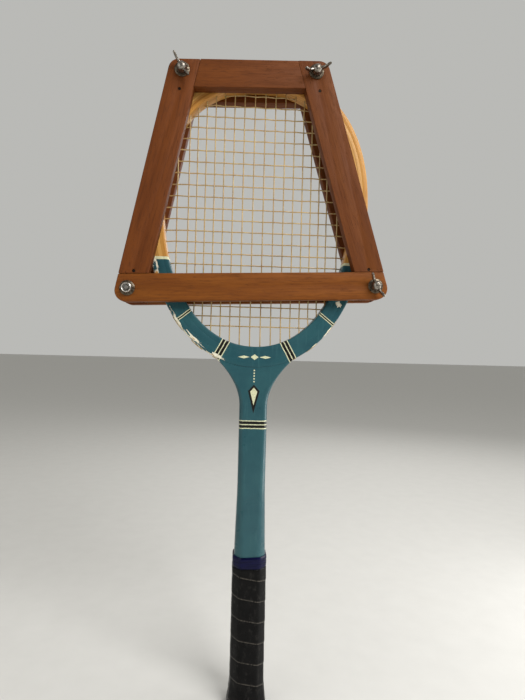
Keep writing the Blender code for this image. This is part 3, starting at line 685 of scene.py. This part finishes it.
def hoop_underside(x):
    width, height, fullness = hoop_axes(1, False)
    return HOOP_CENTRE - height * (1 - (abs(x) / width) ** fullness) ** (1 / fullness)


SHAFT_ROWS = 26
THROAT_ROWS = 22
FACE_POINTS = 15
count = len(eight_sided(SHAFT_HALF, HOOP_DEPTH / 2, NECK_CUT, FACE_POINTS))
neck, rings = sleeve("painted_neck", SHAFT_ROWS + THROAT_ROWS, count)
for k, ring in enumerate(rings):
    if k < SHAFT_ROWS:
        z = BUTT_END + (WEDGE_BASE - BUTT_END) * k / (SHAFT_ROWS - 1)
        cut = HANDLE_CUT + (NECK_CUT - HANDLE_CUT) * share_of(z, HANDLE_TOP - 0.02, HEEL_TOP)
        outline = turned_to_start(eight_sided(half_width(z), half_depth(z), cut, FACE_POINTS))
        for vertex, point in zip(ring, outline):
            vertex.co = (point.x, point.y, z)
        continue
    share = (k - SHAFT_ROWS + 1) / THROAT_ROWS
    flank = WEDGE_BASE + (meet - 0.0002 - WEDGE_BASE) * share
    wide = half_width(flank)
    cut = NECK_CUT - 0.0020 * share_of(share, 0.55, 1)
    for vertex, point in zip(ring, turned_to_start(eight_sided(wide, HOOP_DEPTH / 2, cut, FACE_POINTS))):
        top = hoop_underside(point.x / wide * meet_half) - 0.0002
        vertex.co = (point.x, point.y, WEDGE_BASE + (top - WEDGE_BASE) * share)
open_piece(neck)
close_piece(neck, 40)
edge_map(neck, lambda place, middle: place.z, lambda place: abs(place.x) - half_width(place.z))

enamel = Finish("enamel", Coat_Weight=0.3, Coat_Roughness=0.12, Specular_IOR_Level=0.2)
painted, chipped, undercoat, bare, top = paint(enamel)
enamel.feed("Base Color", enamel.blend(chipped, painted, undercoat))
gloss = enamel.fade(enamel.noise(enamel.object_place, 60, 3), 0.3, 0.7, 0.26, 0.40)
enamel.feed("Roughness", enamel.either(gloss, enamel.both(chipped, 0.7)))
skin = enamel.noise(enamel.object_place, (400, 400, 120), 2)
level = enamel.minus(enamel.both(skin, 0.12), chipped)
enamel.feed("Normal", enamel.bump(level, 0.0002, 0.8))
dress(
    neck, enamel.material, "racket", "painted_wood", "throat_wedge", "shaft_core", "bow_leg_left",
    "bow_leg_right", "heel_front", "heel_back",
)

# --- grip ---------------------------------------------------------------------------------
# A strip of black calf leather wound up the handle, each turn lapped over the last,
# with a turn of glossy tape over its upper end and a leather cap tacked on the butt.
LEATHER = 0.0017
PITCH = 0.0222
SEAM_AT_FRONT = 0.0278  # height of one seam on the middle of the front
COLLAR_LOW = HANDLE_TOP - 0.0125
WRAP_STEPS = 18
LAP = 0.00055


def handle_outline(z, grow):
    cut = HANDLE_CUT + grow * 0.586
    return turned_to_start(eight_sided(half_width(z) + grow, half_depth(z) + grow, cut, 2, 0.22))


outline = handle_outline(0.1, LEATHER)
around = len(outline)
run = [0.0]
for k in range(around):
    run.append(run[-1] + (outline[(k + 1) % around] - outline[k]).length)
front = min(range(around), key=lambda k: abs(outline[k].x) + (0 if outline[k].y < 0 else 1))
turns = int((COLLAR_LOW - SEAM_AT_FRONT) / PITCH) + 4
rows = turns * (WRAP_STEPS + 1)
leather, rings = sleeve("wound_leather", rows, around)
low, high = 0.0032, COLLAR_LOW - 0.0002
for r, ring in enumerate(rings):
    turn_number, step = divmod(r, WRAP_STEPS + 1)
    share = step / WRAP_STEPS
    for k, vertex in enumerate(ring):
        slant = (run[k] - run[front]) / run[-1]
        z = SEAM_AT_FRONT + PITCH * (turn_number - 2 + share * 0.985 - slant)
        held = min(high, max(low, z))
        ease = min(1.0, share / 0.10) ** 0.5
        lift = LAP * (ease * (1 - share) ** 0.8) - 0.00035
        if z != held:
            lift = -0.0004
        point = handle_outline(held, LEATHER + lift)[k]
        vertex.co = (point.x, point.y, held)
open_piece(leather)
close_piece(leather, 50)


def around_handle(place):
    """The length round the handle's outline to a place, from the +X side on."""
    nearest = min(range(around), key=lambda k: (outline[k].x - place.x) ** 2 + (outline[k].y - place.y) ** 2)
    return run[nearest]


edge_map(
    leather,
    lambda place, middle: around_handle(place),
    lambda place: (place.z - SEAM_AT_FRONT) / PITCH + (around_handle(place) - run[front]) / run[-1],
)

calf = Finish("black_calf", Coat_Weight=0.06, Coat_Roughness=0.2, Specular_IOR_Level=0.1)
place = calf.object_place
wrap = calf.calc("FRACT", calf.plus(calf.axis(calf.node("UVMap", uv_map="edge_map").outputs[0], "Y"), 10.0))
pebble = calf.node("TexVoronoi", {"Vector": place, "Scale": 900}, feature="F1").outputs[0]
creases = calf.noise(place, (700, 700, 260), 4, 0.6)
dusty = calf.noise(place, 70, 4)
hide = calf.blend(calf.fade(dusty, 0.35, 0.7), colour(5, 5, 5), colour(14, 13, 13))
scuffed = calf.fade(calf.noise(place, (190, 190, 120), 5, 0.7), 0.52, 0.70, 0.0, 0.7)
hide = calf.blend(scuffed, hide, colour(44, 42, 40))
at_lap = calf.rest(calf.fade(wrap, 0.0, 0.09))
hide = calf.blend(calf.both(at_lap, calf.fade(creases, 0.3, 0.6)), hide, colour(88, 83, 76))
hide = calf.blend(calf.fade(wrap, 0.95, 1.0), hide, colour(3, 3, 3))
calf.feed("Base Color", hide)
calf.feed("Roughness", calf.fade(creases, 0.3, 0.7, 0.26, 0.5))
calf.feed("Normal", calf.bump(creases, 0.00025, 0.7, calf.bump(pebble, 0.00012, 0.5)))
dress(leather, calf.material, "racket", "grip_leather", "grip_leather")

collar, rings = sleeve("collar_tape", 9, around)
for r, ring in enumerate(rings):
    z = COLLAR_LOW + (HANDLE_TOP - COLLAR_LOW) * r / 8
    lift = LEATHER * 0.95 - (0.0005 if r in (0, 8) else 0.0) + (0.00012 if r in (3, 6) else 0.0)
    for k, (vertex, point) in enumerate(zip(ring, handle_outline(z, lift))):
        ripple = 0.0004 * sin(run[k] * 140) if r == 8 else 0.0
        vertex.co = (point.x, point.y, z + ripple - (0.0004 if r == 8 else 0.0))
open_piece(collar)
close_piece(collar, 50)
tape = Finish("glossy_tape", Coat_Weight=0.2, Coat_Roughness=0.06, Specular_IOR_Level=0.06)
streak = tape.noise(tape.object_place, (60, 60, 900), 3)
film = tape.blend(tape.fade(streak, 0.3, 0.75), colour(5, 7, 38), colour(10, 11, 54))
tape.feed("Base Color", film)
tape.feed("Roughness", tape.fade(streak, 0.3, 0.7, 0.2, 0.36))
tape.feed("Normal", tape.bump(streak, 0.00005, 0.5))
dress(collar, tape.material, "racket", "collar_tape", "grip_collar")

cap, rings = sleeve("leather_cap", 7, around)
CAP_PROFILE = (  # height, and how far the cap stands out past the leather
    (0, -0.0022), (0.0002, -0.0012), (0.0009, -0.0002), (0.0016, 0), (0.0021, 0), (0.0025, -0.0001),
    (0.0028, -0.0006),
)
for ring, (z, grow) in zip(rings, CAP_PROFILE):
    for vertex, point in zip(ring, handle_outline(BUTT_END, LEATHER + grow)):
        vertex.co = (point.x, point.y, z)
open_piece(cap)
close_piece(cap, 40)
sole = Finish("cap_leather", Specular_IOR_Level=0.15)
grit = sole.noise(sole.object_place, 1200, 3)
sole.feed("Base Color", sole.blend(sole.fade(grit, 0.4, 0.8), colour(24, 23, 23), colour(50, 47, 44)))
sole.feed("Roughness", sole.fade(grit, 0.3, 0.7, 0.5, 0.75))
sole.feed("Normal", sole.bump(grit, 0.00012, 0.6))
dress(cap, sole.material, "racket", "butt_cap", "butt_cap")

# --- press frames ----------------------------------------------------------------------------
# Two frames of mahogany, each of two rails and two stiles half-lapped at the corners.
# The bars are planed and oiled, and handling has softened their edges.
PRESS_X, PRESS_Z = -0.0085, 0.5585  # its centre
PRESS_HALF_HEIGHT = 0.1255
PRESS_TOP_HALF = 0.082
PRESS_CORNER = 0.0115
RAIL_WIDTH, STILE_WIDTH = 0.029, 0.030
LEAN = 0.064 / 0.251  # a stile's run sideways for its rise
PRESS_TURN = radians(2.3)
STILE_LEAN = atan2(LEAN, 1)


def mahogany(name, turn, shift, light, dark):
    """Oiled mahogany whose grain runs along a bar that is turned from level, anticlockwise from the front."""
    finish = Finish(name, Specular_IOR_Level=0.16)
    along = finish.moved(finish.object_place, turn=(0, turn, 0))
    along = finish.node("VectorMath", {0: along, 1: shift}, operation="ADD").outputs[0]
    figure = finish.noise(along, (12, 75, 95), 4, 0.55)
    grain = finish.noise(along, (34, 520, 600), 5, 0.6)
    pores = finish.noise(along, (110, 1500, 1900), 2)
    stain = finish.noise(along, (26, 48, 40), 5, 0.65)
    wood = finish.blend(finish.fade(figure, 0.30, 0.70, 0.15, 0.85), dark, light)
    wood = finish.blend(finish.fade(grain, 0.45, 0.75, 0.0, 0.5), wood, colour(72, 35, 10))
    wood = finish.blend(finish.fade(pores, 0.60, 0.72, 0.0, 0.6), wood, colour(42, 20, 7))
    wood = finish.blend(finish.fade(stain, 0.56, 0.80, 0.0, 0.35), wood, colour(66, 32, 10))
    scuffs = finish.noise(finish.object_place, (240, 240, 240), 5, 0.75)
    wood = finish.blend(finish.fade(scuffs, 0.70, 0.76, 0.0, 0.5), wood, colour(168, 112, 66))
    finish.feed("Base Color", wood)
    finish.feed("Roughness", finish.fade(grain, 0.3, 0.7, 0.52, 0.68))
    level = finish.minus(finish.both(grain, -0.5), finish.fade(pores, 0.60, 0.72))
    finish.feed("Normal", finish.bump(level, 0.00016, 0.7))
    return finish.material


def on_press(place):
    """Whether a point seen from the front lies on the press's bars. Its holes count as wood."""
    x, z = place.x - PRESS_X, place.z - PRESS_Z
    across = abs(x * cos(PRESS_TURN) + z * sin(PRESS_TURN))
    up = z * cos(PRESS_TURN) - x * sin(PRESS_TURN)
    slanted = hypot(1, LEAN)
    side = PRESS_TOP_HALF + LEAN * (PRESS_HALF_HEIGHT - up)
    on_rail = abs(up) > PRESS_HALF_HEIGHT - RAIL_WIDTH
    on_stile = across > side - STILE_WIDTH * slanted
    end = PRESS_HALF_HEIGHT - PRESS_CORNER
    middle = PRESS_TOP_HALF + LEAN * (PRESS_HALF_HEIGHT - copysign(end, up)) - PRESS_CORNER * slanted
    in_corner = abs(up) > end and across > middle
    past_corner = in_corner and hypot(across - middle, abs(up) - end) > PRESS_CORNER + 0.0003
    return abs(up) < PRESS_HALF_HEIGHT and across < side and (on_rail or on_stile) and not past_corner


def soften(piece, width, flush_width):
    """Rounds a bar's sharp edges, and only just breaks those that lie flush against the next bar."""
    mesh = piece.data
    normals = {}
    for face in mesh.polygons:
        for key in face.edge_keys:
            normals.setdefault(key, []).append(face.normal.copy())
    weights = mesh.attributes.new("bevel_weight_edge", "FLOAT", "EDGE")
    for edge in mesh.edges:
        pair = normals.get(edge.key, ())
        if len(pair) != 2 or pair[0].angle(pair[1]) < radians(50):
            continue
        middle = (mesh.vertices[edge.vertices[0]].co + mesh.vertices[edge.vertices[1]].co) / 2
        out = Vector((pair[0].x + pair[1].x, 0, pair[0].z + pair[1].z)).normalized() * 0.001
        weights.data[edge.index].value = flush_width / width if on_press(middle + out) else 1.0
    apply_modifier(piece, "BEVEL", width=width, segments=3, limit_method="WEIGHT", use_clamp_overlap=True)


BAR_TURNS = {
    "top_rail": PRESS_TURN,
    "bottom_rail": PRESS_TURN,
    "left_stile": pi / 2 - STILE_LEAN + PRESS_TURN,
    "right_stile": pi / 2 + STILE_LEAN + PRESS_TURN,
}
BAR_TONES = {
    "top_rail": (colour(112, 60, 20), colour(94, 48, 14)),
    "bottom_rail": (colour(130, 74, 22), colour(108, 57, 15)),
    "left_stile": (colour(112, 59, 19), colour(94, 47, 14)),
    "right_stile": (colour(113, 62, 22), colour(94, 48, 16)),
}
for side_number, (side, body) in enumerate((("front", "press_front"), ("back", "press_back"))):
    for bar_number, (bar, turn) in enumerate(BAR_TURNS.items()):
        node = f"{side}_{bar}"
        shift = (0.37 * bar_number + 1.3 * side_number, 0.9 * bar_number, 0.53 * bar_number)
        piece = bpy.data.objects.new(f"{side}_{bar}_wood", bpy.data.objects[node].data.copy())
        bpy.context.scene.collection.objects.link(piece)
        open_piece(piece)
        bpy.ops.mesh.remove_doubles(threshold=0.00001)
        bpy.ops.mesh.dissolve_limited(angle_limit=radians(1))
        bpy.ops.mesh.normals_make_consistent(inside=False)
        bpy.ops.object.mode_set(mode="OBJECT")
        soften(piece, 0.0011, 0.00015)
        bpy.ops.object.shade_smooth_by_angle(angle=radians(35))
        look = mahogany(f"mahogany_{side}_{bar}", turn, shift, *BAR_TONES[bar])
        dress(piece, look, body, "press_wood", node)

# --- corner pins --------------------------------------------------------------------------------
# A short iron pin through each lap, sunk below the face and dark with age.


def aged_steel(name, bright, stained, roughness):
    finish = Finish(name, Metallic=1.0)
    place = finish.object_place
    patches = finish.noise(place, 420, 5, 0.65)
    fine = finish.noise(place, 2600, 3)
    metal = finish.blend(finish.fade(patches, 0.40, 0.66), bright, stained)
    metal = finish.blend(finish.fade(fine, 0.62, 0.75, 0.0, 0.6), metal, colour(48, 34, 24))
    finish.feed("Base Color", metal)
    finish.feed("Roughness", finish.fade(patches, 0.35, 0.7, roughness, roughness + 0.28))
    finish.feed("Normal", finish.bump(fine, 0.00006, 0.5))
    return finish.material


iron = aged_steel("dark_iron", colour(52, 44, 38), colour(24, 18, 15), 0.5)
tarnished = aged_steel("tarnished_steel", colour(104, 94, 80), colour(50, 40, 30), 0.36)
dull = aged_steel("dull_steel", colour(158, 152, 142), colour(78, 68, 56), 0.24)
silver = aged_steel("bright_steel", colour(214, 212, 206), colour(150, 144, 136), 0.2)
CORNERS = ("top_left", "top_right", "bottom_left", "bottom_right")
for side in ("front", "back"):
    for corner in CORNERS:
        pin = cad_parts[f"{side}_pin_{corner}"]
        pin.data.materials.clear()
        pin.data.materials.append(iron)

# --- bolts, washers and nuts ------------------------------------------------------------------------
# Four slotted round-headed bolts of steel, put in from the back. On the front each has a washer,
# and three of them a domed wing nut. The fourth has lost its wing nut and wears a round one.
CLEARANCE = 0.0003
SEAT = 0.0098 + 0.013 + CLEARANCE  # from the middle plane to just outside a frame
WASHER = 0.0012  # its thickness


def turned(name, profile, sides=32):
    """A round piece about +Z, from a profile of (radius, height) points from one end to the other."""
    piece = start_piece(
        name,
        bpy.ops.mesh.primitive_circle_add,
        vertices=sides,
        radius=profile[0][0],
        fill_type="NGON",
        location=(0, 0, profile[0][1]),
    )
    bpy.ops.object.transform_apply(location=True, rotation=True, scale=True)
    open_piece(piece, "FACE")
    for before, after in zip(profile, profile[1:]):
        bpy.ops.mesh.extrude_region_move(TRANSFORM_OT_translate={"value": (0, 0, after[1] - before[1])})
        size = after[0] / before[0]
        bpy.ops.transform.resize(value=(size, size, 1), center_override=(0, 0, after[1]))
    close_piece(piece, 40)
    return piece


def stand_on_front(piece, corner, depth, turn=0.0):
    """Turns a piece from +Z to face forwards at a corner of the press, and leaves its place in its mesh."""
    low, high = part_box(f"washer_{corner}")
    place = Matrix.Translation(((low.x + high.x) / 2, depth, (low.z + high.z) / 2))
    piece.data.transform(place @ Matrix.Rotation(-turn, 4, "Y") @ Matrix.Rotation(pi / 2, 4, "X"))


def bore(piece, deep, sides=24):
    """A round hole up from the seat of a washer or nut."""
    drill = start_piece(
        "bore", bpy.ops.mesh.primitive_cylinder_add, vertices=sides, radius=0.0028, depth=deep * 2
    )
    combine(piece, drill)


def thread(start, end, radius, pitch=0.0008, deep=0.00042):
    """Profile points of a screw thread between two heights."""
    steps = int((end - start) / pitch)
    points = []
    for k in range(steps):
        points += [(radius - deep, start + k * pitch), (radius, start + (k + 0.5) * pitch)]
    return points


HEAD = 0.0065
HEAD_DOME = ((0.0008, 0.0028), (0.0026, 0.0026), (0.0045, 0.0020), (0.0058, 0.0011))
SHANK = 0.0025
BOLT_END = 0.0060
for corner in CORNERS:
    nut_end = SEAT + WASHER + BOLT_END
    profile = [(radius, -SEAT - rise) for radius, rise in HEAD_DOME]
    profile += [(HEAD, -SEAT - 0.0003), (HEAD, -SEAT), (SHANK, -SEAT), (SHANK, nut_end - 0.0176)]
    profile += thread(nut_end - 0.0172, nut_end - 0.0006, SHANK) + [(SHANK - 0.0007, nut_end)]
    bolt = turned(f"{corner}_bolt", profile)
    slot_cut = start_piece("slot", bpy.ops.mesh.primitive_cube_add, size=1)
    slot_place = Matrix.Translation((0, 0, -SEAT - 0.0028))
    slot_cut.data.transform(slot_place @ Matrix.Diagonal((0.02, 0.0013, 0.0024, 1)))
    combine(bolt, slot_cut)
    stand_on_front(bolt, corner, 0.0, 0.4 + 0.9 * CORNERS.index(corner))
    look = silver if corner == "bottom_left" else tarnished
    dress(bolt, look, "press_back", "dull_steel", f"bolt_{corner}")

    washer = turned(
        f"{corner}_washer",
        [(0.0029, 0.0), (0.0074, 0.0), (0.0078, 0.0003), (0.0078, 0.0008), (0.0073, WASHER),
         (0.0029, WASHER)],
        40,
    )
    bore(washer, 0.005, 32)
    stand_on_front(washer, corner, -SEAT)
    dress(washer, tarnished, "press_front", "dull_steel", f"washer_{corner}")

NUT_SEAT = -(SEAT + WASHER + CLEARANCE)
WING_EAR = (
    (0.0028, 0.0010), (0.0062, 0.0014), (0.0092, 0.0032), (0.0118, 0.0058), (0.0134, 0.0080),
    (0.0142, 0.0098), (0.0140, 0.0112), (0.0128, 0.0119), (0.0112, 0.0114), (0.0090, 0.0088),
    (0.0066, 0.0070), (0.0028, 0.0066),
)
for corner in ("top_left", "top_right", "bottom_right"):
    node = f"wing_nut_{corner}"
    hub = turned(
        f"{corner}_wing_nut",
        [(0.0050, 0.0), (0.0055, 0.0004), (0.0054, 0.0014), (0.0049, 0.0036), (0.0047, 0.0052),
         (0.0041, 0.0069), (0.0030, 0.0080), (0.0016, 0.0085), (0.0005, 0.0086)],
    )
    for way in (1, -1):
        ear = start_piece(
            "ear", bpy.ops.mesh.primitive_circle_add, vertices=len(WING_EAR), radius=1, fill_type="NGON"
        )
        for vertex, (across, up) in zip(ear.data.vertices, WING_EAR):
            vertex.co = (way * across, -0.0010, up)
        open_piece(ear, "FACE")
        bpy.ops.mesh.extrude_region_move(TRANSFORM_OT_translate={"value": (0, 0.0020, 0)})
        close_piece(ear)
        apply_modifier(ear, "BEVEL", width=0.0007, segments=3, limit_method="ANGLE", angle_limit=radians(60))
        combine(hub, ear, "UNION")
    bore(hub, BOLT_END + CLEARANCE)
    low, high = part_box(f"washer_{corner}")
    centre = (low + high) / 2
    points = [v.co for v in bpy.data.objects[node].data.vertices]
    tip = max(points, key=lambda co: hypot(co.x - centre.x, co.z - centre.z))
    stand_on_front(hub, corner, NUT_SEAT, atan2(tip.z - centre.z, tip.x - centre.x))
    dress(hub, dull, node, "dull_steel", node)

ring = turned(
    "bottom_left_ring_nut",
    [(0.0040, 0.0), (0.0050, 0.0), (0.0052, 0.0003), (0.0052, 0.0036), (0.0049, 0.0043), (0.0044, 0.0045),
     (0.0039, 0.0042), (0.0036, 0.0026), (0.0024, 0.0025)],
    40,
)
bore(ring, 0.01)
stand_on_front(ring, "bottom_left", NUT_SEAT)
dress(ring, silver, "ring_nut_bottom_left", "bright_steel", "ring_nut_bottom_left")

# --- floor and light -------------------------------------------------------------------------------
# A plain pale floor under the butt, a large soft key from the upper right, two lights from the
# right, a weak fill, and a plain surround, pale above and behind the racket and dimmer before it.
floor = start_piece("floor", bpy.ops.mesh.primitive_plane_add, size=40)
floor_finish = Finish("pale_floor", Roughness=0.8)
mottle = floor_finish.noise(floor_finish.object_place, 30, 3)
floor_finish.feed("Base Color", floor_finish.blend(mottle, colour(206, 204, 199), colour(214, 212, 207)))
floor.data.materials.append(floor_finish.material)
for name, place, turn, size, power in (
    ("key", (0.9, -1.2, 1.5), (50, 0, 37), 1.0, 32),
    ("window", (1.5, -0.1, 0.6), (90, 0, 90), 0.9, 5),
    ("low_strip", (0.7, 0.05, 0.20), (90, 0, 90), 0.3, 1.2),
    ("fill", (-1.3, -0.9, 0.8), (72, 0, -55), 1.5, 6),
    ("rim", (0.6, 1.2, 1.3), (-55, 0, -26), 1.2, 8),
):
    lamp = bpy.data.objects.new(name, bpy.data.lights.new(name, "AREA"))
    bpy.context.scene.collection.objects.link(lamp)
    lamp.location = place
    lamp.rotation_euler = [radians(angle) for angle in turn]
    lamp.data.size = size
    lamp.data.energy = power
world = bpy.data.worlds.new("surround")
bpy.context.scene.world = world
world.use_nodes = True
surround = world.node_tree
ways = surround.nodes.new("ShaderNodeTexCoord").outputs["Generated"]
split = surround.nodes.new("ShaderNodeSeparateXYZ")
surround.links.new(ways, split.inputs[0])
lean = surround.nodes.new("ShaderNodeMath")
lean.operation = "MULTIPLY_ADD"
surround.links.new(split.outputs["Z"], lean.inputs[0])
lean.inputs[1].default_value = 0.5
surround.links.new(split.outputs["Y"], lean.inputs[2])
shade = surround.nodes.new("ShaderNodeMapRange")
surround.links.new(lean.outputs[0], shade.inputs["Value"])
shade.interpolation_type = "SMOOTHSTEP"
for socket, value in {"From Min": -0.45, "From Max": 0.3, "To Min": 0.15, "To Max": 0.49}.items():
    shade.inputs[socket].default_value = value
surround.links.new(shade.outputs[0], surround.nodes["Background"].inputs[1])
surround.nodes["Background"].inputs[0].default_value = (1.0, 1.0, 0.96, 1)
bpy.context.scene.view_settings.view_transform = "Standard"
